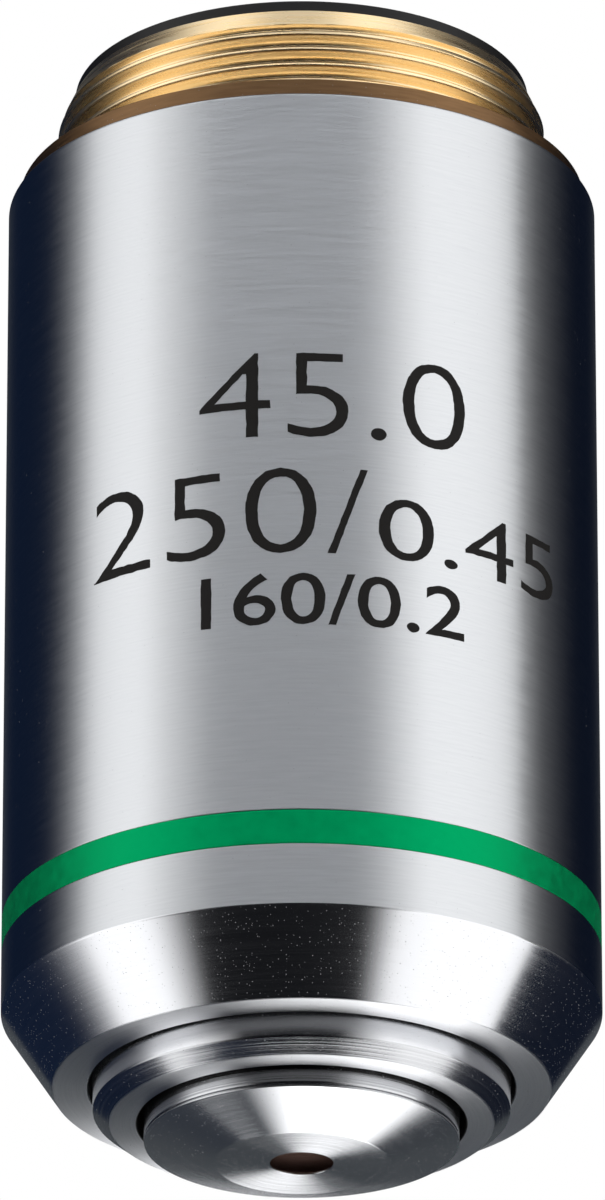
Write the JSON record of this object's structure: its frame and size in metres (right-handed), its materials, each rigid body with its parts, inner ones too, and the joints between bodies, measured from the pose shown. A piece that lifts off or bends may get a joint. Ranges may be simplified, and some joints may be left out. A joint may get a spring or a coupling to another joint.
{
  "type": "microscope objective",
  "caption": "Microscope objective: chromed barrel with RMS thread, green colour band and a spring-loaded nose carrying the lens stack; screws into a revolving nosepiece.",
  "frame": {"origin": "centre of the mounting shoulder, the face that seats on the nosepiece", "axes": "+Z along the optical axis, from the front lens towards the thread; -Y is the marked side"},
  "size_m": [0.0244, 0.0244, 0.0475],
  "materials": {
    "turned_brass": "satin",
    "satin_chrome": "satin",
    "green_enamel": "gloss",
    "black_anodised": "satin",
    "steel": "satin",
    "spring_steel": "satin",
    "optical_glass": "gloss"
  },
  "bodies": {
    "barrel": {"thread_mount": "turned_brass", "outer_barrel": "satin_chrome", "colour_band": "green_enamel", "rear_ring": "black_anodised", "guide_screw": "steel", "return_spring": "spring_steel"},
    "nose": {"lens_tube": "satin_chrome", "front_cell": "satin_chrome", "front_lens": "optical_glass", "lock_ring": "black_anodised", "second_cell": "turned_brass", "second_lens": "optical_glass", "first_spacer": "turned_brass", "middle_cell": "turned_brass", "middle_flint": "optical_glass", "middle_crown": "optical_glass", "second_spacer": "turned_brass", "main_cell": "turned_brass", "main_crown": "optical_glass", "main_flint": "optical_glass", "aperture_stop": "black_anodised", "long_spacer": "black_anodised", "rear_cell": "turned_brass", "rear_crown": "optical_glass", "rear_flint": "optical_glass"}
  },
  "joints": [
    {"name": "nose_retract", "type": "slide", "parent": "barrel", "child": "nose", "axis": [0, 0, 1], "range_m": [0, 0.0025], "stiffness_N_per_m": 260, "springref_m": -0.0077, "deforming": ["return_spring"]}
  ]
}
